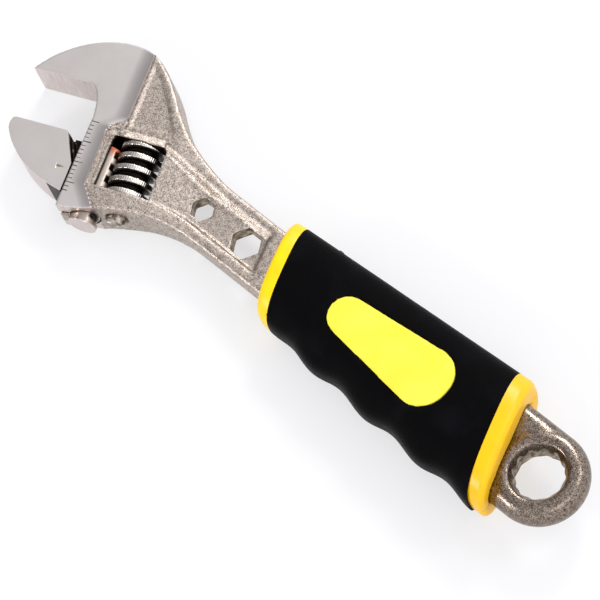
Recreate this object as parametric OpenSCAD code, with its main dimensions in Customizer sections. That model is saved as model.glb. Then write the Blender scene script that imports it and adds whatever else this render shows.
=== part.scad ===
// Adjustable wrench with a moulded grip and a twelve point ring end.
// Origin at the middle of the ring, +X along the handle towards the jaws,
// +Y towards the movable jaw, +Z out of the upper face.
// Jaw parts are drawn in the jaw frame: x runs out along the jaws, y runs the
// way the movable jaw opens, and the point (0, 0) is the root of the fixed jaw.

/* [Head] */
// Ring centre to the root of the fixed jaw, along the handle
head_x = 133.8; // [125:0.2:170]
// Ring centre to the root of the fixed jaw, across the handle
head_y = -7.4; // [-9:0.1:-6]
// Lean of the jaws from the handle
jaw_angle = 22; // [15:0.5:22.5]
// Thickness across the ground faces
head_t = 10.2; // [10:0.1:14]
// Height of the forged faces over the ground faces
forged_rise = 0.5; // [0.2:0.05:0.8]
// Reach of the fixed jaw from its root
jaw_reach = 17.3; // [15:0.1:22]
// Length of the slide edge from the fixed jaw's face
slide_l = 29.4; // [29:0.1:36]

/* [Movable jaw] */
// Opening between the jaws as drawn
opening = 12; // [0.1:0.1:16]
// Radius of the round rack bar
bar_r = 3.25; // [3:0.05:3.6]
// Rack bar centre line behind the slide edge
bar_back = 5.4; // [5.2:0.05:6]
// Length of the rack bar from the jaw's face
bar_l = 18.6; // [17:0.1:24]
// Thickness of the neck between the jaw and its bar
neck_t = 3.2; // [2.6:0.1:4.4]
// Clearance of the sliding parts on each side
slide_gap = 0.15; // [0.1:0.01:0.25]

/* [Worm] */
// Pitch of the worm and of the rack
pitch = 2.9; // [2.4:0.05:3.2]
// Outer radius of the worm
worm_r = 5; // [4.6:0.05:5.05]
// Height of the worm's thread
thread_h = 1.5; // [1.2:0.05:1.6]
// Width of the thread at its crest
crest_w = 1.15; // [0.8:0.05:1.3]
// Width of the thread at its root
root_w = 1.75; // [1.4:0.05:1.9]
// Play between the thread and the rack, on each flank
flank_gap = 0.13; // [0.1:0.01:0.2]
// Play between the rack's tips and the worm's root, and the reverse
tip_gap = 0.2; // [0.15:0.01:0.3]
// Width of the window
window_w = 12.4; // [12:0.1:14]
// Length of the window, along the slide
window_l = 12.6; // [11:0.1:15]
// Window's upper edge from the fixed jaw's face
window_y = 10; // [9:0.1:12]
// Play at each end of the worm
end_gap = 0.15; // [0.1:0.01:0.3]

/* [Worm pin and spring] */
// Radius of the pin's plain part
pin_r = 1.5; // [1.2:0.05:1.6]
// Radius of the pin's threaded head
pin_head_r = 2.3; // [2:0.05:2.5]
// Depth of the pin into the metal above the window
pin_seat = 5; // [3:0.1:7]
// Length of the pin's head
pin_head_l = 4; // [3:0.1:4.2]
// Running clearance of the worm on its pin
pin_gap = 0.05; // [0.02:0.01:0.1]
// Wire diameter of the spring
wire_d = 0.6; // [0.4:0.05:0.7]
// Depth of the spring's pocket in the worm
spring_l = 5.5; // [4:0.1:7]
// Turns of the spring
spring_turns = 5; // [3:1:6]

/* [Handle] */
// Width of the forged handle
shank_w = 14.2; // [12:0.1:15]
// Thickness of the forged handle
shank_t = 6.6; // [6:0.1:7]
// Thickness of the web in the recessed panel
web_t = 3.6; // [2.5:0.1:4.5]
// Width of the recessed panel
panel_w = 8.3; // [7:0.1:9]
// Ring centre to the panel's end
panel_x = 80; // [79:0.1:81]
// Ring centre to the small hexagon hole
small_hex_x = 98; // [97:0.1:99]
// Small hexagon hole across its flats
small_hex = 4.8; // [4:0.1:5]
// Ring centre to the large hexagon hole
large_hex_x = 85; // [84.5:0.1:87]
// Large hexagon hole across its flats
large_hex = 6.35; // [5.5:0.05:6.35]
// Outer radius of the ring
ring_r = 10.7; // [10:0.1:12]
// Thickness of the ring
ring_t = 7; // [6.6:0.1:8]
// Twelve point hole across its flats
ring_hex = 10; // [8:0.1:10]
// Width of the dished rim around the twelve point hole
ring_dish = 1.6; // [1:0.1:2]

/* [Grip] */
// Ring centre to the rear collar's end
grip_x0 = 8.4; // [8:0.1:10]
// Ring centre to the front collar's end
grip_x1 = 75.6; // [70:0.1:77]
// Width of the rear collar
rear_collar_w = 4.1; // [2.5:0.1:5]
// Width of the front collar
front_collar_w = 3.6; // [2.5:0.1:5]
// Slant of the collars
grip_slant = 19.5; // [0:0.5:20]
// Back edge from the centre line, at the rear
back_rear = 14.7; // [14.5:0.1:17]
// Back edge from the centre line, at the front
back_front = 10.6; // [10.2:0.1:13]
// Finger edge from the centre line, at the rear
finger_rear = 13.6; // [13.5:0.1:16]
// Finger edge from the centre line, at the front
finger_front = 10.8; // [10.2:0.1:13]
// Thickness of the grip, at the rear
grip_t_rear = 17; // [15:0.1:19]
// Thickness of the grip, at the front
grip_t_front = 15.4; // [14:0.1:18]
// Thickness of the soft sleeve over the core
skin = 2; // [1.2:0.1:2.4]
// Height of the finger waves
wave_h = 0.65; // [0:0.05:1]
// Spacing of the finger waves
wave_pitch = 15.6; // [13:0.1:18]
// Ring centre to the inlay's middle
inlay_x = 41.3; // [38:0.1:44]
// Length of the inlay
inlay_l = 32.8; // [24:0.1:36]
// Width of the inlay at its wide end
inlay_w0 = 13.4; // [10:0.1:14]
// Width of the inlay at its narrow end
inlay_w1 = 8.8; // [6:0.1:10]
// Height of the inlay over the sleeve
inlay_proud = 0.25; // [0.1:0.05:0.5]

/* [Hidden] */
$fn = 64;

far = 60;                        // reach of a cut that passes right through
lead = atan(pitch / (2 * PI * (worm_r - thread_h / 2)));
window_x = bar_back + bar_r + tip_gap + worm_r - thread_h;  // worm axis behind the slide edge
window_x1 = -(window_x - window_w / 2);      // window's edge beside the rack
window_x0 = window_x1 - window_w;            // window's edge beside the handle
window_y1 = window_y + window_l;
forged_half = head_t / 2 + forged_rise;
recess = 0.35;                   // depth of the sunken triangle
worm_l = window_l - 2 * end_gap;
worm_y = window_y + end_gap;
neck_half = neck_t / 2;
neck_x0 = 17;                    // where the ring's neck starts to narrow, inside the grip
neck_x1 = 35;                    // where it has narrowed to the handle
neck_drop = 0.4;                 // the neck's faces lie below the ring's crest
gate_x = 67.6;                   // moulding gate stub on the sleeve's back
ring_round = 2.8;                // rounding of the ring's outer side
pointer_y = 8.5;                 // pointer and first mark from the jaws' faces
first_groove = 2.05;             // first rack groove from the jaw's face
slant = tan(grip_slant);
spring_r = pin_r + pin_gap + wire_d / 2 + 0.15;   // middle of the wire

// A point of the jaw frame in the wrench's own frame
function placed(p) = [head_x + p[0] * cos(jaw_angle) - p[1] * sin(jaw_angle),
                      head_y + p[0] * sin(jaw_angle) + p[1] * cos(jaw_angle)];

// A smooth stretch from a to d, pulled towards b and c, without its first point
function curve(a, b, c, d, n = 14) =
    [for (i = [1:n]) let (t = i / n, k = 1 - t)
        k * k * k * a + 3 * k * k * t * b + 3 * k * t * t * c + t * t * t * d];

module in_jaw_frame() {
    translate([head_x, head_y, 0]) rotate(jaw_angle) children();
}

// ---------- forged body ----------

// Throat beside the root of the fixed jaw, from the slide edge to the jaw's face
function throat() = curve([0, 7.6], [0.3, 4.6], [1.2, 0.5], [3.6, 0], 10);

// Back of the fixed jaw, round the head and down to the handle
function head_back() = let (crest = [-2.6, -11.2], shoulder = placed([-17, -0.8]))
    concat([for (p = curve([jaw_reach, 0], [jaw_reach - 3.8, -6], [6, -11.2], crest)) placed(p)],
           [for (p = curve(crest, [-8.2, -11.3], [-12.6, -7.6], [-17, -0.8])) placed(p)],
           curve(shoulder, shoulder + [-5.6, 3.8], [head_x - 26.8, -shank_w / 2 - 1],
                 [head_x - 36.8, -shank_w / 2]));

// Underside of the head, from the handle out to the heel of the slide edge
function head_belly() = let (heel = placed([0.2, slide_l]), start = [head_x - 41.8, shank_w / 2])
    curve(start, start + [16, 0], placed([-10, slide_l - 0.8]), heel);

module body_outline() {
    polygon(concat([placed([jaw_reach, 0])],
                   head_back(),
                   [[neck_x1, -shank_w / 2], [neck_x0, 0], [neck_x1, shank_w / 2],
                    [head_x - 41.8, shank_w / 2]],
                   head_belly(),
                   [for (p = concat([[0, 7.6]], throat())) placed(p)]));
}

// Side view of the forging: thick at the head, thinner along the handle
module forged_thickness() {
    rotate([90, 0, 0])
        linear_extrude(2 * far, center = true)
            polygon([[-1, -shank_t / 2], [head_x - 39, -shank_t / 2],
                     [head_x - 23, -forged_half], [head_x + far, -forged_half],
                     [head_x + far, forged_half], [head_x - 23, forged_half],
                     [head_x - 39, shank_t / 2], [-1, shank_t / 2]]);
}

// Ground faces of the jaw and the slide edge
module ground_area() {
    polygon([placed([window_x1 - 2, -20]), placed([jaw_reach + 5, -20]),
             placed([jaw_reach + 5, slide_l + 8]), placed([-11, slide_l + 2]),
             placed([window_x1 + 1.6, window_y1 + 0.2]), placed([window_x1 + 1.6, window_y - 1.6]),
             placed([window_x1 - 2, window_y - 1.6])]);
}

// Sunken triangle between the crease, the window and the rounded back of the head
module head_recess() {
    rim = 0.8;
    top = [window_x1 - 2 - rim, -8];
    foot = [window_x0 - 0.6, window_y - 3.2];
    polygon([for (p = concat([top], curve(top, top + [-2.6, 2.2], foot + [3.4, -6.2], foot),
                             [[window_x1 - 2 - rim, window_y - 2.4]])) placed(p)]);
}

// Half of the ring's section, rounded on its outer side; drop thins it
function rounded_side(r, drop) =
    [for (a = [-90:15:90]) [r - ring_round + ring_round * cos(a), (ring_t / 2 - drop) * sin(a)]];

module ring() {
    rotate_extrude()
        polygon(concat([[0, -ring_t / 2]], rounded_side(ring_r, 0), [[0, ring_t / 2]]));
}

// Neck as wide as the ring, narrowing to the handle inside the grip
module neck() {
    rotate([90, 0, 90])
        linear_extrude(neck_x0)
            polygon(concat(rounded_side(ring_r, neck_drop), [for (q = rounded_side(ring_r, neck_drop)) -q]));
    intersection() {
        linear_extrude(shank_t, center = true)
            polygon([[neck_x0, -ring_r + 1], [neck_x1, -shank_w / 2], [neck_x1, shank_w / 2], [neck_x0, ring_r - 1]]);
        cube([2 * far, 2 * far, ring_t - 2 * neck_drop], center = true);
    }
}

module ring_hole() {
    for (a = [0, 30])
        rotate(a) cylinder(r = ring_hex / sqrt(3), h = far, center = true, $fn = 6);
    for (side = [0, 1])
        mirror([0, 0, side])
            translate([0, 0, 1]) cylinder(r1 = ring_hex / 2, r2 = ring_hex / 2 + 2 * ring_dish, h = 2 * ring_dish + 2);
}

// One hexagon hole with a corner towards the jaws
module hex_hole(x, across) {
    translate([x, 0, 0]) cylinder(r = across / sqrt(3), h = far, center = true, $fn = 6);
}

// Recessed panel in one face; its floor ramps up to meet the head
module panel_pocket() {
    y = panel_w / 2;
    ramp = head_x - 33.5;
    top = placed([window_x0 + 0.5, window_y]);
    bottom = placed([window_x0 + 0.5, window_y1]);
    intersection() {
        linear_extrude(far)
            polygon(concat([[panel_x - slant * y, y], [panel_x + slant * y, -y], [ramp, -y], top, bottom],
                           curve(bottom, bottom + [-4, -1.4], [ramp + 2, y + 0.2], [ramp - 4, y], 8)));
        rotate([90, 0, 0])
            linear_extrude(2 * far, center = true)
                polygon([[0, web_t / 2], [ramp, web_t / 2], [top[0], forged_half - 1.3],
                         [top[0] + 1, far], [0, far]]);
    }
}

// Sloped border of the window on the ground side and above it
module window_border() {
    side = 1.8;
    top = 1.4;
    depth = 1;
    z = forged_half;
    translate([window_x1, window_y1, 0])
        rotate([90, 0, 0])
            linear_extrude(window_l + top)
                polygon([[-1, z - depth * (1 + 1 / side)], [side + 1, z + depth / side], [-1, z + 2]]);
    translate([window_x1 + side, window_y, 0])
        rotate([90, 0, -90])
            linear_extrude(window_w + side)
                polygon([[-1, z - depth * (1 + 1 / top)], [top + 1, z + depth / top], [-1, z + 2]]);
}

// Round channel for the rack bar with a slot for the neck
module channel() {
    translate([-bar_back, -1, 0])
        rotate([-90, 0, 0]) cylinder(r = bar_r + slide_gap, h = far);
    slot = neck_half + slide_gap;
    translate([-bar_back, 0, -slot]) cube([far, far, 2 * slot]);
}

module window() {
    corner = 1;
    translate([0, 0, -far / 2])
        linear_extrude(far)
            union() {
                translate([window_x0 + corner, window_y]) square([window_w - corner, window_l]);
                translate([window_x0, window_y + corner]) square([window_w, window_l - 2 * corner]);
                for (y = [window_y + corner, window_y1 - corner])
                    translate([window_x0 + corner, y]) circle(corner);
            }
}

module pin_holes() {
    fit = 0.03;
    translate([-window_x, window_y - pin_seat - 0.2, 0])
        rotate([-90, 0, 0]) cylinder(r = pin_r + fit, h = slide_l);
    translate([-window_x, pin_end() - pin_head_l - 0.1, 0])
        rotate([-90, 0, 0]) cylinder(r = pin_head_r + fit, h = far / 2);
}

// Opening marks, one a millimetre, with a longer one every five
module opening_marks() {
    mark = 0.22;
    for (i = [0:17])
        translate([-(i % 5 == 0 ? 2 : 1.1), pointer_y + i - mark / 2, head_t / 2 - 0.12])
            cube([4, mark, 1]);
}

module body() {
    color("#c9c2ba")
    difference() {
        union() {
            intersection() {
                linear_extrude(2 * far, center = true) body_outline();
                forged_thickness();
            }
            ring();
            neck();
        }
        ring_hole();
        hex_hole(small_hex_x, small_hex);
        hex_hole(large_hex_x, large_hex);
        for (side = [0, 1])
            mirror([0, 0, side]) {
                translate([0, 0, head_t / 2]) linear_extrude(far) ground_area();
                translate([0, 0, forged_half - recess]) linear_extrude(far) head_recess();
                panel_pocket();
            }
        in_jaw_frame() {
            channel();
            window();
            pin_holes();
            opening_marks();
            for (side = [0, 1])
                mirror([0, 0, side]) window_border();
        }
    }
}

// ---------- movable jaw ----------

module jaw_plan() {
    edge = slide_gap + 0.25;
    polygon(concat([[4.4, 0], [jaw_reach - 0.7, 0]],
                   curve([jaw_reach - 0.7, 0], [jaw_reach + 0.2, 0], [jaw_reach + 0.5, 1.6],
                         [jaw_reach + 0.1, 2.9], 6),
                   curve([jaw_reach + 0.1, 2.9], [jaw_reach - 2.4, 7.6], [9.5, 12], [edge, 13.9]),
                   [[edge, 7.2], [3.9, 0.4]]));
}

// Thinner land between the jaw and the slide edge
module jaw_flare() {
    edge = slide_gap + 0.25;
    polygon([[5, 0.02], [4.2, 0.02], [2.6, 1.6], [edge + 0.6, 5], [edge, 9], [5, 9]]);
}

// Neck through the slot, cut back below the jaw
module neck_plan() {
    polygon([[-bar_back, 0.3], [3, 0.3], [3, 12], [-0.4, 13.5], [-0.4, bar_l - 0.8], [-bar_back, bar_l - 0.8]]);
}

module rack_groove() {
    tip = -(bar_back + bar_r) - 0.4;
    root = tip_gap + worm_r - window_x;
    taper = (root_w - crest_w) / (2 * thread_h);
    half0 = crest_w / 2 + flank_gap - taper * tip_gap;
    half1 = half0 + taper * (root - tip);
    rotate([lead, 0, 0])
        linear_extrude(far / 2, center = true)
            polygon([[root, half0], [root, -half0], [tip, -half1], [tip, half1]]);
}

module movable_jaw() {
    color("#cfc9c4")
    in_jaw_frame() translate([0, opening, 0])
        difference() {
            union() {
                linear_extrude(head_t, center = true) jaw_plan();
                linear_extrude(head_t * 0.62, center = true) jaw_flare();
                linear_extrude(neck_t, center = true) neck_plan();
                translate([-bar_back, 0.3, 0])
                    rotate([-90, 0, 0]) cylinder(r = bar_r, h = bar_l - 0.3);
            }
            for (y = [first_groove:pitch:bar_l + pitch])
                translate([0, y, 0]) rack_groove();
            translate([1.4, pointer_y, head_t / 2 - 0.12]) pointer();
        }
}

// Wedge cut that points at the opening marks
module pointer() {
    linear_extrude(1) polygon([[0, 0], [2.1, 0.55], [2.1, -0.55]]);
}

// ---------- worm, pin and spring ----------

// Thread on the z axis, its middle at z = 0 in the +x direction
module thread(turns, steps) {
    root_r = worm_r - thread_h - 0.3;
    out_r = worm_r + 0.3;
    taper = (root_w - crest_w) / (2 * thread_h);
    in_half = root_w / 2 + taper * 0.3;
    out_half = crest_w / 2 - taper * 0.3;
    count = turns * steps;
    section = [[root_r, -in_half], [out_r, -out_half], [out_r, out_half], [root_r, in_half]];
    points = [for (i = [0:count], q = section)
        let (a = 360 * i / steps) [q[0] * cos(a), q[0] * sin(a), q[1] + pitch * i / steps]];
    polyhedron(points = points,
               faces = concat([[3, 2, 1, 0]],
                              [for (i = [0:count - 1], j = [0:3]) let (k = 4 * i, n = (j + 1) % 4)
                                  each [[k + j, k + n, k + 4 + j], [k + n, k + 4 + n, k + 4 + j]]],
                              [[for (j = [0:3]) 4 * count + j]]));
}

module worm() {
    turns = ceil(worm_l / pitch) + 2;
    base = opening + first_groove - worm_y - pitch * (1 + floor((opening + first_groove - worm_y) / pitch));
    color("#d8d8d8")
    in_jaw_frame() translate([-window_x, worm_y, 0]) rotate([-90, 0, 0])
        difference() {
            union() {
                cylinder(r = worm_r - thread_h, h = worm_l);
                intersection() {
                    cylinder(r = worm_r, h = worm_l);
                    translate([0, 0, base - pitch]) thread(turns, 30);
                }
            }
            translate([0, 0, -1]) cylinder(r = pin_r + pin_gap, h = worm_l + 2);
            translate([0, 0, -1]) cylinder(r = spring_r + wire_d / 2 + 0.1, h = spring_l + 1);
        }
}

// The pin's end stands just clear of the head's underside
function pin_end() = slide_l - 1.3;

module worm_pin() {
    slot_w = 0.7;
    plain_l = pin_end() - pin_head_l - (window_y - pin_seat);
    color("#8d8780")
    in_jaw_frame() translate([-window_x, window_y - pin_seat, 0]) rotate([-90, 0, 0])
        difference() {
            union() {
                cylinder(r = pin_r, h = plain_l + 1);
                translate([0, 0, plain_l]) cylinder(r = pin_head_r, h = pin_head_l);
            }
            translate([-far / 2, -slot_w / 2, plain_l + pin_head_l - 1]) cube([far, slot_w, 5]);
        }
}

module worm_spring() {
    steps = 16;
    sides = 6;
    run = spring_l + end_gap - wire_d - 0.2;
    count = spring_turns * steps;
    points = [for (i = [0:count], j = [0:sides - 1])
        let (a = 360 * i / steps, b = 360 * j / sides, r = spring_r + wire_d / 2 * cos(b))
            [r * cos(a), r * sin(a), wire_d / 2 * sin(b) + run * i / count]];
    color("#9a9a9a")
    in_jaw_frame() translate([-window_x, window_y + wire_d / 2 + 0.05, 0]) rotate([-90, 0, 0])
        polyhedron(points = points,
                   faces = concat([[for (j = [sides - 1:-1:0]) j]],
                                  [for (i = [0:count - 1], j = [0:sides - 1])
                                      let (k = sides * i, n = (j + 1) % sides)
                                      each [[k + j, k + n, k + sides + j],
                                            [k + n, k + sides + n, k + sides + j]]],
                                  [[for (j = [0:sides - 1]) sides * count + j]]));
}

// ---------- grip ----------

function along(x) = (x - grip_x0) / (grip_x1 - grip_x0);
function back_at(x) = back_rear + (back_front - back_rear) * along(x);
function finger_at(x) = let (u = along(x))
    finger_rear + (finger_front - finger_rear) * (0.35 * u + 0.65 * u * u);
function thick_at(x) = (grip_t_rear + (grip_t_front - grip_t_rear) * along(x)) / 2;
function wave_at(x, h) =
    let (front = max(0, min(1, (grip_x1 - front_collar_w - x) / 8)))
    h * front * cos(360 * (x - grip_x0 - rear_collar_w) / wave_pitch);

// One slanted cross-section of the grip, drawn in by inset
function grip_section(x, inset, wave, n) =
    let (f = finger_at(x) + wave_at(x, wave) - inset, b = back_at(x) - inset, t = thick_at(x) - inset,
         mid = (f - b) / 2, half = (f + b) / 2)
    [for (i = [0:n - 1]) let (a = 360 * i / n, c = cos(a), s = sin(a),
        y = mid + half * sign(c) * pow(abs(c), 0.72), z = t * sign(s) * pow(abs(s), 0.72))
        [x - slant * y, y, z]];

// A solid through the sections at each [x, inset]
module grip_solid(stations, wave = 0, n = 32) {
    count = len(stations);
    points = [for (s = stations) each grip_section(s[0], s[1], wave, n)];
    polyhedron(points = points,
               faces = concat([[for (j = [0:n - 1]) j]],
                              [for (i = [0:count - 2], j = [0:n - 1]) let (k = n * i, m = (j + 1) % n)
                                  each [[k + j, k + n + j, k + m], [k + m, k + n + j, k + n + m]]],
                              [[for (j = [n - 1:-1:0]) n * (count - 1) + j]]));
}

module sleeve_solid(inset = 0) {
    x0 = grip_x0 + rear_collar_w;
    x1 = grip_x1 - front_collar_w;
    steps = 26;
    grip_solid([for (i = [0:steps]) [x0 + (x1 - x0) * i / steps, inset]], wave_h);
}

module core_solid() {
    edge = 0.9;
    x0 = grip_x0 + rear_collar_w;
    x1 = grip_x1 - front_collar_w;
    grip_solid([[grip_x0, edge], [grip_x0 + edge, 0], [x0, 0]]);
    grip_solid([[x0 - 0.5, skin], [(x0 + x1) / 2, skin], [x1 + 0.5, skin]]);
    grip_solid([[x1, 0], [grip_x1 - edge, 0], [grip_x1, edge]]);
}

// The forged handle as the grip is moulded over it
module handle_space() {
    linear_extrude(shank_t, center = true) body_outline();
    neck();
    ring();
}

module grip_core_half(side) {
    color("#ffd911")
    difference() {
        core_solid();
        handle_space();
        translate([-far / 2, -far, side > 0 ? -2 * far : 0]) cube([3 * far, 2 * far, 2 * far]);
    }
}
module grip_core_top() { grip_core_half(1); }
module grip_core_bottom() { grip_core_half(-1); }

function arc(c, r, a0, a1, n = 8) = [for (i = [0:n]) let (a = a0 + (a1 - a0) * i / n) c + r * [cos(a), sin(a)]];

module inlay_plan() {
    r1 = inlay_w1 / 2;
    r0 = inlay_w0 * 0.46;
    x0 = inlay_x - inlay_l / 2 + r0;
    x1 = inlay_x + inlay_l / 2 - r1;
    y0 = inlay_w0 / 2 - r0;
    polygon(concat(arc([x1, 0], r1, -82, 82), arc([x0, y0], r0, 82, 180), arc([x0, -y0], r0, 180, 278)));
}

module inlay(side) {
    floor_z = thick_at(inlay_x) - skin + 0.4;
    color("#fbf25a")
    intersection() {
        sleeve_solid(-inlay_proud);
        mirror([0, 0, side > 0 ? 0 : 1])
            translate([0, 0, floor_z]) linear_extrude(far) inlay_plan();
    }
}
module inlay_top() { inlay(1); }
module inlay_bottom() { inlay(-1); }

module grip_sleeve() {
    floor_z = thick_at(inlay_x) - skin + 0.4;
    color("#15161a")
    difference() {
        union() {
            sleeve_solid();
            translate([gate_x, -back_at(gate_x), 0])
                rotate([90, 0, 0]) cylinder(r = 0.8, h = 1.5, center = true);
        }
        core_solid();
        handle_space();
        for (side = [0, 1])
            mirror([0, 0, side]) translate([0, 0, floor_z]) linear_extrude(far) inlay_plan();
    }
}

body();
movable_jaw();
worm();
worm_pin();
worm_spring();
grip_core_top();
grip_core_bottom();
grip_sleeve();
inlay_top();
inlay_bottom();
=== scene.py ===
import math

import bmesh
import bpy
from mathutils import Matrix, Vector


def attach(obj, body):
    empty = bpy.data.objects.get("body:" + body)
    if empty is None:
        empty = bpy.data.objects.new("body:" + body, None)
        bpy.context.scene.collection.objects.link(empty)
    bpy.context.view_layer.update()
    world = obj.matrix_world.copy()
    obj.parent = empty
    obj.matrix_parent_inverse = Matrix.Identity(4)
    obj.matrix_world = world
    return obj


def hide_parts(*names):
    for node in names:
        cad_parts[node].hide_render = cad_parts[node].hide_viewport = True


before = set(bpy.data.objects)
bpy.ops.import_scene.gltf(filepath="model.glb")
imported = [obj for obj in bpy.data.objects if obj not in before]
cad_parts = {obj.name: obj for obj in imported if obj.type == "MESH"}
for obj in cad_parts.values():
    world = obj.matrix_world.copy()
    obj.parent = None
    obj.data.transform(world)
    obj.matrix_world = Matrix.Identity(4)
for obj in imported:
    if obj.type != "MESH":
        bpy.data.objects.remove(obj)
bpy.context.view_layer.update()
mm = 0.001

# ---- camera, floor and light ----
# The wrench lies on a pale table in a white tent, and is seen from over its ring end, with the
# jaws at the upper left. The tent is dimmest beyond the jaws, half way up, which takes the steel
# that faces upwards down a little from white.
aim = Vector((67.4, 2.0, 0.0)) * mm
camera_turn = math.radians(156.66)
camera_height = math.radians(63.39)
camera_roll = math.radians(25.95)
camera_distance = 1007.2 * mm
camera_data = bpy.data.cameras.new("camera")
camera_data.lens = 285.1
camera_data.clip_start = 0.05
camera = bpy.data.objects.new("camera", camera_data)
back = Vector((math.cos(camera_turn) * math.cos(camera_height),
               math.sin(camera_turn) * math.cos(camera_height), math.sin(camera_height)))
look = back.to_track_quat("Z", "Y").to_matrix() @ Matrix.Rotation(-camera_roll, 3, "Z")
camera.matrix_world = Matrix.Translation(aim + back * camera_distance) @ look.to_4x4()
bpy.context.scene.collection.objects.link(camera)
bpy.context.scene.camera = camera
bpy.context.scene.view_settings.view_transform = "Standard"


def linear(code):
    """The linear colour of an sRGB hex code, with full alpha."""
    parts = [int(code[i:i + 2], 16) / 255 for i in (1, 3, 5)]
    return [c / 12.92 if c <= 0.04045 else ((c + 0.055) / 1.055) ** 2.4 for c in parts] + [1.0]


def add(tree, kind, settings={}, inputs={}):
    """Adds a node with its settings. Inputs go by name or number, as a value or another node's output."""
    node = tree.nodes.new(kind)
    for name, value in settings.items():
        setattr(node, name, value)
    for name, value in inputs.items():
        if isinstance(value, bpy.types.NodeSocket):
            tree.links.new(value, node.inputs[name])
        else:
            node.inputs[name].default_value = value
    return node


def material(name, **values):
    """A new material with one Principled shader, and its tree and shader."""
    made = bpy.data.materials.new(name)
    made.use_nodes = True
    shader = made.node_tree.nodes["Principled BSDF"]
    for socket, value in values.items():
        shader.inputs[socket.replace("_", " ")].default_value = value
    return made, made.node_tree, shader


# Matt opal acrylic, lit a little from below: white all over, with faint soft shadows.
table_finish, tree, shader = material("white_acrylic_matt", Base_Color=linear("#98989B"), Roughness=0.9,
                                      Emission_Color=linear("#FFFFFF"), Emission_Strength=0.57)
# The wrench's centre of mass is ahead of the grip, so it rests on the grip's front and the jaw's tip.
table_slope = 0.0347
table_gap = 0.05 * mm
table_z = min(vert.co.z - table_slope * vert.co.x
              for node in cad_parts.values() for vert in node.data.vertices) - table_gap
table_size = 3.0
bm = bmesh.new()
bmesh.ops.create_grid(bm, x_segments=1, y_segments=1, size=table_size)
for vert in bm.verts:
    vert.co.z = table_z + table_slope * vert.co.x
table_mesh = bpy.data.meshes.new("table")
bm.to_mesh(table_mesh)
bm.free()
table_mesh.materials.append(table_finish)
table = bpy.data.objects.new("table", table_mesh)
bpy.context.scene.collection.objects.link(table)

dim_side = Vector((0.80, 0.15, 0.58)).normalized()
world = bpy.data.worlds.new("white_tent")
bpy.context.scene.world = world
world.use_nodes = True
tree = world.node_tree
sight = add(tree, "ShaderNodeTexCoord").outputs["Generated"]
facing = add(tree, "ShaderNodeVectorMath", {"operation": "DOT_PRODUCT"}, {0: sight, 1: dim_side})
shade = add(tree, "ShaderNodeMapRange", {"interpolation_type": "SMOOTHSTEP"},
            {"Value": facing.outputs["Value"], "From Min": 0.734, "From Max": 1.0,
             "To Min": 1.0, "To Max": 0.28})
walls = add(tree, "ShaderNodeMapRange", {"interpolation_type": "SMOOTHSTEP"},
            {"Value": facing.outputs["Value"], "From Min": 0.76, "From Max": 0.15,
             "To Min": 0.0, "To Max": 0.22})
glow = add(tree, "ShaderNodeMath", {"operation": "ADD"}, {0: shade.outputs[0], 1: walls.outputs[0]})
tree.links.new(glow.outputs[0], tree.nodes["Background"].inputs["Strength"])
tree.nodes["Background"].inputs["Color"].default_value = linear("#FCFCFF")
# name, place, size across, watts
for name, place, size, watts in [("softbox_far", (0.30, -0.64, 0.60), 0.22, 3.0),
                                 ("softbox_ring_side", (-0.27, -0.54, 0.64), 0.22, 0.9),
                                 ("softbox_finger_side", (0.34, 0.62, 0.42), 0.16, 1.9),
                                 ("softbox_near", (-0.55, 0.10, 0.80), 0.40, 0.8)]:
    light = bpy.data.lights.new(name, "AREA")
    light.size = size
    light.energy = watts
    lamp = bpy.data.objects.new(name, light)
    lamp.matrix_world = (Matrix.Translation(place)
                         @ (Vector(place) - aim).to_track_quat("Z", "Y").to_matrix().to_4x4())
    bpy.context.scene.collection.objects.link(lamp)

# ---- forged body ----
# Fixed jaw, head, handle and ring in one drop forging of chrome vanadium steel. It is blasted with
# grit and nickel plated, then the jaws are ground flat with a wheel that leaves a hollow along the
# forged rim, and the opening marks are rolled into the slide edge.
jaw_lean = math.radians(22)
jaw_root = Vector((133.8, -7.4, 0.0)) * mm
jaw_frame = Matrix.Translation(jaw_root) @ Matrix.Rotation(jaw_lean, 4, "Z")
ground_half = 5.1 * mm
forged_rise = 0.5 * mm
window_low = Vector((-18.55, 10.0)) * mm
window_high = Vector((-6.15, 22.6)) * mm
bar_axis = -5.4 * mm
bore_radius = 3.4 * mm
bore_foot = -1 * mm
slot_half = 1.75 * mm
slot_foot = 7 * mm
# the crease between ground and forged faces, and where it bends towards the slide edge and back
crease = -8.15 * mm
slide_land = -4.55 * mm
crease_bend = (5.6 * mm, 9.2 * mm)
crease_turn = 22.8 * mm
crease_slope = 0.75
hollow_width = 3.8 * mm
# middle of the hole along the handle, radius over its corners
holes = [(0.0, 5.95 * mm), (85.0 * mm, 3.85 * mm), (98.0 * mm, 2.95 * mm)]
panel_edge = -3.45 * mm
panel_end = 81.0 * mm
panel_ramp = (100.3 * mm, 113.3 * mm)
panel_lean = 0.057
panel_draft = 1.5 * mm
web_half = 1.8 * mm
head_web_half = ground_half - 0.8 * mm
shank_half = 3.3 * mm
shank_ramp = (94.8 * mm, 110.8 * mm)
recess_top = Vector((-8.95, -8.0)) * mm
recess_side = Vector((-0.823, -0.568))       # away from the sunken triangle, square to its long side
mark_depth = 0.12 * mm
mark_width = 0.22 * mm
mark_long = 2.0 * mm
mark_short = 1.1 * mm
first_mark = 8.5 * mm
mark_pitch = 1 * mm
mark_count = 18
cutter_spare = 1 * mm


def merged(node):
    """A CAD node's mesh with its loose triangles joined."""
    bm = bmesh.new()
    bm.from_mesh(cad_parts[node].data)
    bmesh.ops.remove_doubles(bm, verts=bm.verts, dist=0.002 * mm)
    return bm


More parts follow.
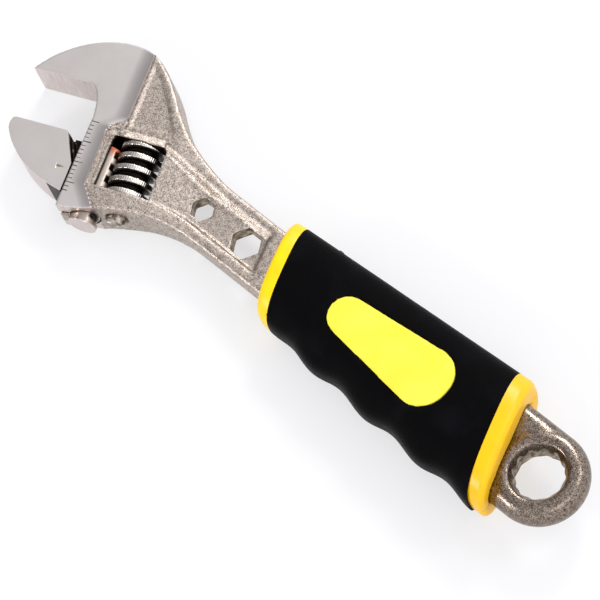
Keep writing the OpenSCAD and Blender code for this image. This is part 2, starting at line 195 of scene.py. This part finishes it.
def piece(name, bm, *finishes):
    """A new object at the origin that holds the mesh and takes the finishes."""
    mesh = bpy.data.meshes.new(name)
    bm.to_mesh(mesh)
    bm.free()
    made = bpy.data.objects.new(name, mesh)
    bpy.context.scene.collection.objects.link(made)
    for finish in finishes:
        mesh.materials.append(finish)
    return made


def apply_modifiers(obj):
    """Makes the modifiers part of the mesh, with smooth faces."""
    bpy.context.view_layer.update()
    mesh = bpy.data.meshes.new_from_object(obj.evaluated_get(bpy.context.evaluated_depsgraph_get()))
    obj.modifiers.clear()
    old = obj.data
    obj.data = mesh
    bpy.data.meshes.remove(old)
    mesh.shade_smooth()
    mesh.set_sharp_from_angle(angle=math.radians(38))


def regrid(obj, grid):
    """Remakes the surface in small even faces."""
    remesh = obj.modifiers.new("grid", "REMESH")
    remesh.mode = "VOXEL"
    remesh.voxel_size = grid
    apply_modifiers(obj)


def wear(obj, passes, share):
    """Wears the edges round, by the share that a function gives for each point."""
    smooth = obj.modifiers.new("wear", "SMOOTH")
    smooth.factor = 0.5
    smooth.iterations = passes
    group = obj.vertex_groups.new(name="worn")
    smooth.vertex_group = group.name
    for vert in obj.data.vertices:
        group.add([vert.index], share(vert.co), "REPLACE")
    apply_modifiers(obj)
    obj.vertex_groups.clear()


def thin_out(obj, keep):
    """Joins faces where the surface is flat, down to the share that is kept."""
    fewer = obj.modifiers.new("fewer", "DECIMATE")
    fewer.ratio = keep
    apply_modifiers(obj)


def between(value, low, high):
    """0 below low, 1 above high, and even between them."""
    return min(1.0, max(0.0, (value - low) / (high - low)))


def from_ground_edge(p):
    """Distance from the line where the ground faces meet the forged rim, below 0 on the forged side."""
    t = between(p.y, *crease_bend)
    line = crease + (slide_land - crease) * t * t * (3 - 2 * t) - crease_slope * max(0.0, p.y - crease_turn)
    return p.x - line


def in_window(p, margin):
    """Whether a point is in the worm's window, and whether it is in the bar's bore or slot, with a margin."""
    window = (window_low.x - margin < p.x < window_high.x + margin
              and window_low.y - margin < p.y < window_high.y + margin)
    bore = math.hypot(p.x - bar_axis, p.z) < bore_radius + margin and p.y > bore_foot
    slot = p.x > bar_axis and p.y > slot_foot and abs(p.z) < slot_half + margin
    return window, bore or slot


crisp = 0.012
rim_wear = 0.17
hole_wear = 0.06


def forged_share(co):
    """How far the forging is worn round: fully on handle and back, hardly on ground faces and holes."""
    window, bore = in_window(co, 0.15 * mm)
    if bore or (window and abs(co.z) < ground_half - 0.9 * mm):
        return crisp
    gap = -from_ground_edge(co.xy)
    ridge = crisp + rim_wear * between(gap, 0.1 * mm, 0.9 * mm)
    beyond = (co.x - recess_top.x) * recess_side.x + (co.y - recess_top.y) * recess_side.y
    outer = between(beyond, 0.8 * mm, 2.0 * mm)
    handle = between(window_low.x - co.x, 1.5 * mm, 6 * mm)
    belly = between(co.y, window_high.y + 1.2 * mm, window_high.y + 3.0 * mm)
    share = ridge + (1 - ridge) * max(outer, handle, belly) * between(gap, 0.3 * mm, 2.5 * mm)
    flat = jaw_frame @ co
    for x, radius in holes:
        off = between(math.hypot(flat.x - x, flat.y), radius, radius + 1.2 * mm)
        share *= off * (1 - hole_wear) + hole_wear
    return share


# Blasted and plated steel: a warm pale grey full of bright and dark specks, where the small pits
# catch the light. Real grit pits are 0.1 to 0.2 mm across, drawn coarser so that they show.
grain = 0.26
forged_nickel, tree, shader = material("forged_steel_blasted_and_nickel_plated", Metallic=1.0)
place = add(tree, "ShaderNodeTexCoord").outputs["Object"]
pits = add(tree, "ShaderNodeTexNoise", inputs={"Vector": place, "Scale": 1000 / grain, "Detail": 2.0,
                                               "Roughness": 0.7})
clumps = add(tree, "ShaderNodeTexNoise", inputs={"Vector": place, "Scale": 1000 / 0.9, "Detail": 3.0})
both = add(tree, "ShaderNodeMix", {"data_type": "FLOAT"},
           {"Factor": 0.25, "A": pits.outputs[0], "B": clumps.outputs[0]})
tint = add(tree, "ShaderNodeMapRange", inputs={"Value": both.outputs[0], "From Min": 0.36, "From Max": 0.62})
plated = add(tree, "ShaderNodeMix", {"data_type": "RGBA"},
             {"Factor": tint.outputs[0], "A": linear("#665A52"), "B": linear("#D6CABF")})
# The ring end is painted darker, as painted shade.
ring_painted_shade = add(tree, "ShaderNodeMix", {"data_type": "RGBA"},
              {"Factor": tint.outputs[0], "A": linear("#221A16"), "B": linear("#A59689")})
along = add(tree, "ShaderNodeSeparateXYZ", inputs={0: place})
ring_end = add(tree, "ShaderNodeMapRange", inputs={"Value": along.outputs["X"], "From Min": 16 * mm,
                                                   "From Max": 10 * mm})
colour = add(tree, "ShaderNodeMix", {"data_type": "RGBA"},
             {"Factor": ring_end.outputs[0], "A": plated.outputs["Result"], "B": ring_painted_shade.outputs["Result"]})
rough = add(tree, "ShaderNodeMapRange", inputs={"Value": ring_end.outputs[0], "To Min": 0.42, "To Max": 0.25})
relief = add(tree, "ShaderNodeMapRange", inputs={"Value": ring_end.outputs[0], "To Min": 0.85,
                                                 "To Max": 0.35})
bump = add(tree, "ShaderNodeBump", inputs={"Height": both.outputs[0], "Strength": relief.outputs[0],
                                           "Distance": 0.10 * mm})
tree.links.new(colour.outputs["Result"], shader.inputs["Base Color"])
tree.links.new(rough.outputs[0], shader.inputs["Roughness"])
tree.links.new(bump.outputs[0], shader.inputs["Normal"])

# Surface ground steel: flat and silky, with fine scratches along the wheel's path. Real scratches
# are finer than 0.25 mm, and are drawn that wide so that they show.
ground_steel, tree, shader = material("tool_steel_surface_ground", Metallic=1.0, Roughness=0.30)
place = add(tree, "ShaderNodeTexCoord").outputs["Object"]
turned = add(tree, "ShaderNodeMapping", inputs={"Vector": place, "Rotation": (0, 0, -jaw_lean),
                                                "Scale": (1000 / 3.0, 1000 / 0.25, 1000 / 0.25)})
scratches = add(tree, "ShaderNodeTexNoise", inputs={"Vector": turned.outputs[0], "Scale": 1.0, "Detail": 4.0})
clouds = add(tree, "ShaderNodeTexNoise", inputs={"Vector": place, "Scale": 1000 / 7, "Detail": 3.0})
colour = add(tree, "ShaderNodeMix", {"data_type": "RGBA"},
             {"Factor": clouds.outputs[0], "A": linear("#D6CECA"), "B": linear("#E9E3E0")})
bump = add(tree, "ShaderNodeBump", inputs={"Height": scratches.outputs[0], "Strength": 0.25,
                                           "Distance": 0.02 * mm})
tree.links.new(colour.outputs["Result"], shader.inputs["Base Color"])
tree.links.new(bump.outputs[0], shader.inputs["Normal"])

# Unplated steel inside the window and the bore, painted nearly black, partly for oil and partly as painted
# shade, with lighter patches of dust.
recess_painted_shade_steel, tree, shader = material("forged_steel_oiled_and_painted_shade", Metallic=1.0, Roughness=0.45)
place = add(tree, "ShaderNodeTexCoord").outputs["Object"]
dust = add(tree, "ShaderNodeTexNoise", inputs={"Vector": place, "Scale": 1000 / 1.5, "Detail": 4.0})
tint = add(tree, "ShaderNodeMapRange", inputs={"Value": dust.outputs[0], "From Min": 0.55, "From Max": 0.8})
colour = add(tree, "ShaderNodeMix", {"data_type": "RGBA"},
             {"Factor": tint.outputs[0], "A": linear("#1A1613"), "B": linear("#5E5248")})
tree.links.new(colour.outputs["Result"], shader.inputs["Base Color"])

# Milled steel on the jaw and slide walls: pale grey, with fine lines across that break up the shine.
milled_steel, tree, shader = material("tool_steel_milled", Metallic=1.0, Roughness=0.34)
place = add(tree, "ShaderNodeTexCoord").outputs["Object"]
turned = add(tree, "ShaderNodeMapping", inputs={"Vector": place, "Rotation": (0, 0, -jaw_lean),
                                                "Scale": (1000 / 0.3, 1000 / 0.3, 1000 / 6)})
lines = add(tree, "ShaderNodeTexNoise", inputs={"Vector": turned.outputs[0], "Scale": 1.0, "Detail": 3.0})
tint = add(tree, "ShaderNodeMapRange", inputs={"Value": lines.outputs[0], "From Min": 0.35, "From Max": 0.65})
colour = add(tree, "ShaderNodeMix", {"data_type": "RGBA"},
             {"Factor": tint.outputs[0], "A": linear("#C6BAB6"), "B": linear("#DACFCB")})
bump = add(tree, "ShaderNodeBump", inputs={"Height": lines.outputs[0], "Strength": 0.2,
                                           "Distance": 0.03 * mm})
tree.links.new(colour.outputs["Result"], shader.inputs["Base Color"])
tree.links.new(bump.outputs[0], shader.inputs["Normal"])

# Broached steel on the hole walls and in the marks: cut through the plating, dull, and brown with
# old grease.
broached_steel, tree, shader = material("forged_steel_broached_and_stained", Metallic=1.0, Roughness=0.42)
place = add(tree, "ShaderNodeTexCoord").outputs["Object"]
stain = add(tree, "ShaderNodeTexNoise", inputs={"Vector": place, "Scale": 1000 / 1.2, "Detail": 5.0})
tint = add(tree, "ShaderNodeMapRange", inputs={"Value": stain.outputs[0], "From Min": 0.38, "From Max": 0.66})
colour = add(tree, "ShaderNodeMix", {"data_type": "RGBA"},
             {"Factor": tint.outputs[0], "A": linear("#4E4234"), "B": linear("#B5A692")})
bump = add(tree, "ShaderNodeBump", inputs={"Height": stain.outputs[0], "Strength": 0.5,
                                           "Distance": 0.08 * mm})
tree.links.new(colour.outputs["Result"], shader.inputs["Base Color"])
tree.links.new(bump.outputs[0], shader.inputs["Normal"])

body_grid = 0.24 * mm
bm = merged("body")
bmesh.ops.transform(bm, matrix=jaw_frame.inverted(), verts=bm.verts)
for vert in bm.verts:        # fills the opening marks, which are cut again below
    if abs(vert.co.z - (ground_half - mark_depth)) < 0.02 * mm and -2.2 * mm < vert.co.x < 1 * mm:
        vert.co.z = ground_half
bmesh.ops.remove_doubles(bm, verts=bm.verts, dist=0.002 * mm)
body = piece("forged_body", bm, forged_nickel, ground_steel, recess_painted_shade_steel, broached_steel, milled_steel)
regrid(body, body_grid)
for vert in body.data.vertices:
    gap = from_ground_edge(vert.co.xy)
    if (gap < hollow_width and abs(abs(vert.co.z) - ground_half) < 0.12 * mm
            and vert.co.x > crease - 0.2 * mm and vert.co.y > -13 * mm):
        vert.co.z += math.copysign(forged_rise * (1 - max(0.0, gap) / hollow_width) ** 2, vert.co.z)
    flat = jaw_frame @ vert.co
    beyond = panel_edge - flat.y - panel_lean * max(0.0, flat.x - panel_ramp[0])
    if panel_end < flat.x < panel_ramp[1] and 0 < beyond < panel_draft:
        floor = web_half + (head_web_half - web_half) * between(flat.x, *panel_ramp)
        top = shank_half + (ground_half + forged_rise - shank_half) * between(flat.x, *shank_ramp)
        if abs(vert.co.z) > floor - 0.1 * mm:
            vert.co.z = math.copysign(floor + (top - floor) * beyond / panel_draft, vert.co.z)
wear(body, 50, forged_share)
thin_out(body, 0.4)

bm = bmesh.new()
for i in range(mark_count):
    length = mark_long if i % 5 == 0 else mark_short
    made = bmesh.ops.create_cube(bm, size=1.0)["verts"]
    bmesh.ops.scale(bm, vec=(length + cutter_spare, mark_width, cutter_spare), verts=made)
    bmesh.ops.translate(bm, vec=(-length + (length + cutter_spare) / 2, first_mark + i * mark_pitch,
                                 ground_half - mark_depth + cutter_spare / 2), verts=made)
marks = piece("marks_cutter", bm, broached_steel)
cut = body.modifiers.new("marks", "BOOLEAN")
cut.operation = "DIFFERENCE"
cut.solver = "EXACT"
cut.object = marks
apply_modifiers(body)
bpy.data.objects.remove(marks)

# The faces inside the window and the bore take the steel painted dark as shade.
for face in body.data.polygons:
    centre = face.center
    window, bore = in_window(centre, 0.12 * mm)
    if (bore or window) and abs(centre.z) < ground_half - 0.75 * mm:
        face.material_index = 2
    elif from_ground_edge(centre.xy) > 0 and face.material_index != 3:
        face.material_index = 4 if abs(face.normal.z) < 0.5 else 1
body.data.transform(jaw_frame)
for face in body.data.polygons:
    for x, radius in holes:
        if math.hypot(face.center.x - x, face.center.y) < radius and abs(face.normal.z) < 0.45:
            face.material_index = 3
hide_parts("body")
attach(body, "frame")

# ---- movable jaw ----
# Forged jaw with its round rack bar in one piece of the same steel, ground on its faces and painted
# dark as painted shade where it is machined away beside the slide. The rack's end tooth has begun to rust.
jaw_grid = 0.17 * mm
pointer_at = 20.5 * mm
bar_end = 30.6 * mm
neck_side = 4.3 * mm


def jaw_share(co):
    """How far the movable jaw is worn: its outer edges a little, and the neck, bar and rack less."""
    return 0.35 if co.x > 4 * mm else 0.18


# Machined steel stained by dried oil: dull grey on the bar's outside, nearly black down in the
# rack's grooves, partly for oil and partly as painted shade, and orange brown with rust on the end tooth.
jaw_steel, tree, shader = material("tool_steel_machined_stained_and_painted_shade", Metallic=1.0)
place = add(tree, "ShaderNodeTexCoord").outputs["Object"]
bar_frame = jaw_frame @ Matrix.Translation((bar_axis, 0, 0))
turned = add(tree, "ShaderNodeMapping", inputs={"Vector": place, "Location": bar_frame.inverted().translation,
                                                "Rotation": (0, 0, -jaw_lean)})
stain = add(tree, "ShaderNodeTexNoise", inputs={"Vector": place, "Scale": 1000 / 1.4, "Detail": 4.0})
across = add(tree, "ShaderNodeVectorMath", {"operation": "MULTIPLY"},
             {0: turned.outputs[0], 1: (1.0, 0.0, 1.0)})
radius = add(tree, "ShaderNodeVectorMath", {"operation": "LENGTH"}, {0: across.outputs[0]})
height = add(tree, "ShaderNodeMath", {"operation": "MULTIPLY_ADD"},
             {0: stain.outputs[0], 1: 1.0 * mm, 2: radius.outputs["Value"]})
# Painted shade together with oil: the bar gets darker towards the bottom of the rack's grooves.
clear_of_oil_and_shade = add(tree, "ShaderNodeMapRange", inputs={"Value": height.outputs[0], "From Min": 2.95 * mm,
                                                "From Max": 3.6 * mm})
steel = add(tree, "ShaderNodeMix", {"data_type": "RGBA"},
            {"Factor": clear_of_oil_and_shade.outputs[0], "A": linear("#2B221C"), "B": linear("#A79C92")})
part = add(tree, "ShaderNodeSeparateXYZ", inputs={0: turned.outputs[0]})
end_tooth = add(tree, "ShaderNodeMapRange", inputs={"Value": part.outputs["Y"], "From Min": 14.6 * mm,
                                                    "From Max": 12.6 * mm})
rust = add(tree, "ShaderNodeMath", {"operation": "MULTIPLY"}, {0: end_tooth.outputs[0], 1: 0.85})
colour = add(tree, "ShaderNodeMix", {"data_type": "RGBA"},
             {"Factor": rust.outputs[0], "A": steel.outputs["Result"], "B": linear("#A8481C")})
rough = add(tree, "ShaderNodeMapRange", inputs={"Value": clear_of_oil_and_shade.outputs[0], "To Min": 0.5, "To Max": 0.32})
bump = add(tree, "ShaderNodeBump", inputs={"Height": stain.outputs[0], "Strength": 0.15,
                                           "Distance": 0.05 * mm})
tree.links.new(colour.outputs["Result"], shader.inputs["Base Color"])
tree.links.new(rough.outputs[0], shader.inputs["Roughness"])
tree.links.new(bump.outputs[0], shader.inputs["Normal"])

bm = merged("movable_jaw")
bmesh.ops.transform(bm, matrix=jaw_frame.inverted(), verts=bm.verts)
jaw = piece("sliding_jaw", bm, ground_steel, jaw_steel, recess_painted_shade_steel, broached_steel, milled_steel)
regrid(jaw, jaw_grid)
wear(jaw, 3, jaw_share)
thin_out(jaw, 0.6)
# The neck beside the slide takes the steel painted dark as shade.
for face in jaw.data.polygons:
    centre = face.center
    if centre.y > bar_end - 0.25 * mm:
        face.material_index = 4
    elif centre.x < -0.2 * mm:
        face.material_index = 1
    elif abs(centre.z) < ground_half - 0.3 * mm and centre.x < neck_side:
        face.material_index = 2
    elif (ground_half - 0.2 * mm < centre.z < ground_half - 0.05 * mm
          and abs(centre.y - pointer_at) < 0.7 * mm):
        face.material_index = 3
    elif abs(face.normal.z) < 0.5:
        face.material_index = 4
jaw.data.transform(jaw_frame)
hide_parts("movable_jaw")
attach(jaw, "jaw")

# ---- worm ----
# Knurled adjusting worm of hardened steel, nickel plated and polished on its crests. The roots of
# the thread are painted black, partly for oil and partly as painted shade. It turns on the pin, in the
# window.
worm_axis = Vector((-12.35, 0.0)) * mm
worm_radius = 5.0 * mm
knurl_count = 60
knurl_depth = 0.07 * mm
worm_grid = 0.13 * mm

# Polished nickel: bright, with sharp reflections on the crests, and painted black down in the thread, partly
# for oil and partly as painted shade.
worm_plate, tree, shader = material("steel_nickel_plated_and_polished", Metallic=1.0)
place = add(tree, "ShaderNodeTexCoord").outputs["Object"]
worm_frame = jaw_frame @ Matrix.Translation((worm_axis.x, 0, 0))
turned = add(tree, "ShaderNodeMapping", inputs={"Vector": place, "Rotation": (0, 0, -jaw_lean),
                                                "Location": worm_frame.inverted().translation})
across = add(tree, "ShaderNodeVectorMath", {"operation": "MULTIPLY"},
             {0: turned.outputs[0], 1: (1.0, 0.0, 1.0)})
radius = add(tree, "ShaderNodeVectorMath", {"operation": "LENGTH"}, {0: across.outputs[0]})
grime_and_shade_noise = add(tree, "ShaderNodeTexNoise", inputs={"Vector": place, "Scale": 1000 / 0.9, "Detail": 4.0})
height = add(tree, "ShaderNodeMath", {"operation": "MULTIPLY_ADD"},
             {0: grime_and_shade_noise.outputs[0], 1: 1.1 * mm, 2: radius.outputs["Value"]})
# Painted shade together with oil: the worm gets darker towards the roots of its thread.
clear_of_oil_and_shade = add(tree, "ShaderNodeMapRange", inputs={"Value": height.outputs[0], "From Min": 4.75 * mm,
                                                "From Max": 5.35 * mm})
colour = add(tree, "ShaderNodeMix", {"data_type": "RGBA"},
             {"Factor": clear_of_oil_and_shade.outputs[0], "A": linear("#1C1612"), "B": linear("#D2CBC4")})
rough = add(tree, "ShaderNodeMapRange", inputs={"Value": clear_of_oil_and_shade.outputs[0], "To Min": 0.5, "To Max": 0.20})
bump = add(tree, "ShaderNodeBump", inputs={"Height": grime_and_shade_noise.outputs[0], "Strength": 0.25,
                                           "Distance": 0.05 * mm})
tree.links.new(colour.outputs["Result"], shader.inputs["Base Color"])
tree.links.new(rough.outputs[0], shader.inputs["Roughness"])
tree.links.new(bump.outputs[0], shader.inputs["Normal"])


def worm_share(co):
    """The worm's edges are worn evenly."""
    return 0.7


bm = merged("worm")
bmesh.ops.transform(bm, matrix=jaw_frame.inverted(), verts=bm.verts)
worm = piece("knurled_worm", bm, worm_plate)
regrid(worm, worm_grid)
wear(worm, 4, worm_share)
for vert in worm.data.vertices:
    out = Vector((vert.co.x - worm_axis.x, vert.co.z))
    crest = between(out.length, worm_radius - 0.35 * mm, worm_radius - 0.1 * mm)
    notch = abs((math.atan2(out.y, out.x) * knurl_count / (2 * math.pi)) % 1.0 - 0.5) * 2
    out *= 1 - crest * knurl_depth * between(notch, 0.45, 1.0) / worm_radius
    vert.co.x = out.x + worm_axis.x
    vert.co.z = out.y
worm.data.transform(jaw_frame)
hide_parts("worm")
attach(worm, "adjuster")

# ---- worm pin ----
# Turned steel pin with a slotted, threaded head. It is pushed up through the window and screwed
# into the head's underside.
# Turned steel, once blackened and worn since: patchy grey, with fine rings round it.
pin_steel, tree, shader = material("steel_turned_and_blackened", Metallic=1.0, Roughness=0.32)
place = add(tree, "ShaderNodeTexCoord").outputs["Object"]
turned = add(tree, "ShaderNodeMapping", inputs={"Vector": place, "Rotation": (0, 0, -jaw_lean),
                                                "Scale": (1000 / 2.0, 1000 / 0.15, 1000 / 2.0)})
rings = add(tree, "ShaderNodeTexNoise", inputs={"Vector": turned.outputs[0], "Scale": 1.0, "Detail": 2.0})
worn = add(tree, "ShaderNodeTexNoise", inputs={"Vector": place, "Scale": 1000 / 1.2, "Detail": 4.0})
tint = add(tree, "ShaderNodeMapRange", inputs={"Value": worn.outputs[0], "From Min": 0.4, "From Max": 0.65})
colour = add(tree, "ShaderNodeMix", {"data_type": "RGBA"},
             {"Factor": tint.outputs[0], "A": linear("#6A6058"), "B": linear("#CBC1B7")})
bump = add(tree, "ShaderNodeBump", inputs={"Height": rings.outputs[0], "Strength": 0.4,
                                           "Distance": 0.04 * mm})
tree.links.new(colour.outputs["Result"], shader.inputs["Base Color"])
tree.links.new(bump.outputs[0], shader.inputs["Normal"])
pin = piece("slotted_pin", merged("worm_pin"), pin_steel)
rim = pin.modifiers.new("rim", "BEVEL")
rim.affect = "EDGES"
rim.width = 0.15 * mm
rim.segments = 2
rim.profile = 0.5
rim.material = -1
rim.limit_method = "ANGLE"
apply_modifiers(pin)
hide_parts("worm_pin")
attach(pin, "frame")

# ---- worm spring ----
# Small compression spring of drawn steel wire, round the pin in the worm's end. It keeps the worm
# from turning by itself.
# Drawn wire: smooth, shiny and unevenly grey.
spring_wire, tree, shader = material("spring_steel_drawn", Metallic=1.0, Roughness=0.25)
place = add(tree, "ShaderNodeTexCoord").outputs["Object"]
drawn = add(tree, "ShaderNodeTexNoise", inputs={"Vector": place, "Scale": 1000 / 0.6, "Detail": 4.0})
colour = add(tree, "ShaderNodeMix", {"data_type": "RGBA"},
             {"Factor": drawn.outputs[0], "A": linear("#6E665F"), "B": linear("#C4BDB6")})
bump = add(tree, "ShaderNodeBump", inputs={"Height": drawn.outputs[0], "Strength": 0.2,
                                           "Distance": 0.02 * mm})
tree.links.new(colour.outputs["Result"], shader.inputs["Base Color"])
tree.links.new(bump.outputs[0], shader.inputs["Normal"])
spring = piece("wire_spring", merged("worm_spring"), spring_wire)
rounder = spring.modifiers.new("round", "SUBSURF")
rounder.levels = 1
rounder.render_levels = 1
apply_modifiers(spring)
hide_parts("worm_spring")
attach(spring, "frame")

# ---- grip cores ----
# Two hard shells moulded from yellow polypropylene close round the handle and show as a collar at
# each end of the grip. The front collar is painted lighter, as painted light.
slant = math.tan(math.radians(19.5))
grip_ends = (8.4 * mm, 75.6 * mm)
sleeve_ends = (12.5 * mm, 72.0 * mm)
back_edge = (14.7 * mm, 10.6 * mm)
finger_edge = (13.6 * mm, 10.8 * mm)
grip_thickness = (17.0 * mm, 15.4 * mm)
squareness = 2 / 0.72
wave_start = 8 * mm
wave_pitch = 15.6 * mm
wave_height = 0.65 * mm
gate_at = 67.6 * mm
core_grid = 0.42 * mm
joint_reach = 0.24 * mm


def true_section(co, wave, proud):
    """Moves a point from the flats of the solid to the smooth oval section, with finger waves this high."""
    station = co.x + slant * co.y
    u = (station - grip_ends[0]) / (grip_ends[1] - grip_ends[0])
    front = between(sleeve_ends[1] - station, 0, wave_start)
    finger = finger_edge[0] + (finger_edge[1] - finger_edge[0]) * (0.35 * u + 0.65 * u * u)
    finger += wave * front * math.cos(2 * math.pi * (station - sleeve_ends[0]) / wave_pitch)
    back = back_edge[0] + (back_edge[1] - back_edge[0]) * u
    middle, half = (finger - back) / 2, (finger + back) / 2 + proud
    thick = (grip_thickness[0] + (grip_thickness[1] - grip_thickness[0]) * u) / 2 + proud
    p, q = (co.y - middle) / half, co.z / thick
    reach = (abs(p) ** squareness + abs(q) ** squareness) ** (1 / squareness)
    if 0.95 < reach < 1.02 and grip_ends[0] + 1.1 * mm < station < grip_ends[1] - 1.1 * mm:
        co.y = middle + half * p / reach
        co.z = thick * q / reach
        co.x = station - slant * co.y
    for end in sleeve_ends:
        if abs(co.x + slant * co.y - end) < joint_reach:
            co.x = end - slant * co.y


def grip_share(co):
    """How far the grip's edges are rounded: less beside the joints of sleeve and collars, and at the stub."""
    station = co.x + slant * co.y
    gap = min(abs(station - end) for end in sleeve_ends)
    stub = math.hypot(co.x - gate_at, co.z)
    return 0.1 + 0.7 * between(gap, 0.4 * mm, 2.0 * mm) * between(stub, 1.2 * mm, 2.0 * mm)


# Moulded polypropylene: an even egg yellow with a soft gloss, deeper where the melt has flowed.
yellow, tree, shader = material("polypropylene_moulded_gloss", IOR=1.49, Specular_IOR_Level=0.35)
place = add(tree, "ShaderNodeTexCoord").outputs["Object"]
flow = add(tree, "ShaderNodeTexNoise", inputs={"Vector": place, "Scale": 1000 / 4, "Detail": 3.0})
skin_grain = add(tree, "ShaderNodeTexNoise", inputs={"Vector": place, "Scale": 1000 / 0.5, "Detail": 3.0})
along = add(tree, "ShaderNodeSeparateXYZ", inputs={0: place})
# Painted light: the front collar is painted a lighter yellow than the rear one, as if it were lit more.
front_painted_light = add(tree, "ShaderNodeMapRange", inputs={"Value": along.outputs["X"], "From Min": 30 * mm,
                                                    "From Max": 50 * mm})
base = add(tree, "ShaderNodeMix", {"data_type": "RGBA"},
           {"Factor": front_painted_light.outputs[0], "A": linear("#EFB800"), "B": linear("#F4CC04")})
deep = add(tree, "ShaderNodeMapRange", inputs={"Value": flow.outputs[0], "From Min": 0.4, "From Max": 0.8,
                                               "To Min": 0.0, "To Max": 0.35})
colour = add(tree, "ShaderNodeMix", {"data_type": "RGBA"},
             {"Factor": deep.outputs[0], "A": base.outputs["Result"], "B": linear("#E6A200")})
rough = add(tree, "ShaderNodeMapRange", inputs={"Value": skin_grain.outputs[0], "To Min": 0.24,
                                                "To Max": 0.42})
bump = add(tree, "ShaderNodeBump", inputs={"Height": skin_grain.outputs[0], "Strength": 0.12,
                                           "Distance": 0.05 * mm})
tree.links.new(colour.outputs["Result"], shader.inputs["Base Color"])
tree.links.new(rough.outputs[0], shader.inputs["Roughness"])
tree.links.new(bump.outputs[0], shader.inputs["Normal"])
for node in ("grip_core_top", "grip_core_bottom"):
    core = piece(node + "_shell", merged(node), yellow)
    regrid(core, core_grid)
    for vert in core.data.vertices:
        true_section(vert.co, 0, 0)
    wear(core, 4, grip_share)
    thin_out(core, 0.5)
    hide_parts(node)
    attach(core, "frame")

# ---- grip sleeve ----
# Soft black thermoplastic rubber moulded over the shells, with shallow finger waves, a matt spark
# eroded grain and the stub of the moulding gate on its back.
sleeve_grid = 0.42 * mm
# Moulded rubber with a spark eroded grain: almost black and matt, with a faint grey bloom where it
# turns away. Such grain is usually under 0.2 mm across, and its cells are drawn coarser so that they show.
rubber, tree, shader = material("thermoplastic_rubber_matt_grain", Specular_IOR_Level=0.03,
                                Sheen_Weight=0.12, Sheen_Roughness=0.3)
place = add(tree, "ShaderNodeTexCoord").outputs["Object"]
grain_cells = add(tree, "ShaderNodeTexVoronoi", inputs={"Vector": place, "Scale": 1000 / 0.45})
grain_noise = add(tree, "ShaderNodeTexNoise", inputs={"Vector": place, "Scale": 1000 / 0.2, "Detail": 2.0})
dust = add(tree, "ShaderNodeTexNoise", inputs={"Vector": place, "Scale": 1000 / 9, "Detail": 6.0})
bloom = add(tree, "ShaderNodeMapRange", inputs={"Value": dust.outputs[0], "From Min": 0.5, "From Max": 0.75})
colour = add(tree, "ShaderNodeMix", {"data_type": "RGBA"},
             {"Factor": bloom.outputs[0], "A": linear("#040405"), "B": linear("#0C0C10")})
rough = add(tree, "ShaderNodeMapRange", inputs={"Value": dust.outputs[0], "To Min": 0.56, "To Max": 0.74})
height = add(tree, "ShaderNodeMath", {"operation": "ADD"},
             {0: grain_cells.outputs["Distance"], 1: grain_noise.outputs[0]})
bump = add(tree, "ShaderNodeBump", inputs={"Height": height.outputs[0], "Strength": 0.7,
                                           "Distance": 0.08 * mm})
tree.links.new(colour.outputs["Result"], shader.inputs["Base Color"])
tree.links.new(rough.outputs[0], shader.inputs["Roughness"])
tree.links.new(bump.outputs[0], shader.inputs["Normal"])
sleeve = piece("rubber_sleeve", merged("grip_sleeve"), rubber)
regrid(sleeve, sleeve_grid)
for vert in sleeve.data.vertices:
    true_section(vert.co, wave_height, 0)
wear(sleeve, 4, grip_share)
thin_out(sleeve, 0.55)
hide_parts("grip_sleeve")
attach(sleeve, "frame")

# ---- inlays ----
# Pads of soft lemon yellow rubber moulded into the sleeve, one on each face of the grip, standing
# a quarter of a millimetre proud with rounded edges.
inlay_grid = 0.22 * mm
inlay_rise = 0.25 * mm
# Soft rubber with a satin skin: pale lemon, without sharp reflections, and a little light gets into it.
lemon, tree, shader = material("thermoplastic_rubber_soft_satin", Specular_IOR_Level=0.25,
                               Subsurface_Weight=0.08, Subsurface_Scale=1.0 * mm)
place = add(tree, "ShaderNodeTexCoord").outputs["Object"]
fine = add(tree, "ShaderNodeTexNoise", inputs={"Vector": place, "Scale": 1000 / 0.35, "Detail": 3.0})
patches = add(tree, "ShaderNodeTexNoise", inputs={"Vector": place, "Scale": 1000 / 6, "Detail": 4.0})
tint = add(tree, "ShaderNodeMapRange", inputs={"Value": patches.outputs[0], "From Min": 0.4,
                                               "From Max": 0.65})
colour = add(tree, "ShaderNodeMix", {"data_type": "RGBA"},
             {"Factor": tint.outputs[0], "A": linear("#E3D33E"), "B": linear("#E9DB4A")})
rough = add(tree, "ShaderNodeMapRange", inputs={"Value": fine.outputs[0], "To Min": 0.58, "To Max": 0.78})
bump = add(tree, "ShaderNodeBump", inputs={"Height": fine.outputs[0], "Strength": 0.25,
                                           "Distance": 0.05 * mm})
tree.links.new(colour.outputs["Result"], shader.inputs["Base Color"])
tree.links.new(rough.outputs[0], shader.inputs["Roughness"])
tree.links.new(bump.outputs[0], shader.inputs["Normal"])


def pad_share(co):
    """Wears the pad's edges round evenly."""
    return 0.8


for node in ("inlay_top", "inlay_bottom"):
    pad = piece(node + "_pad", merged(node), lemon)
    regrid(pad, inlay_grid)
    for vert in pad.data.vertices:
        true_section(vert.co, wave_height, inlay_rise)
    wear(pad, 10, pad_share)
    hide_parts(node)
    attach(pad, "frame")
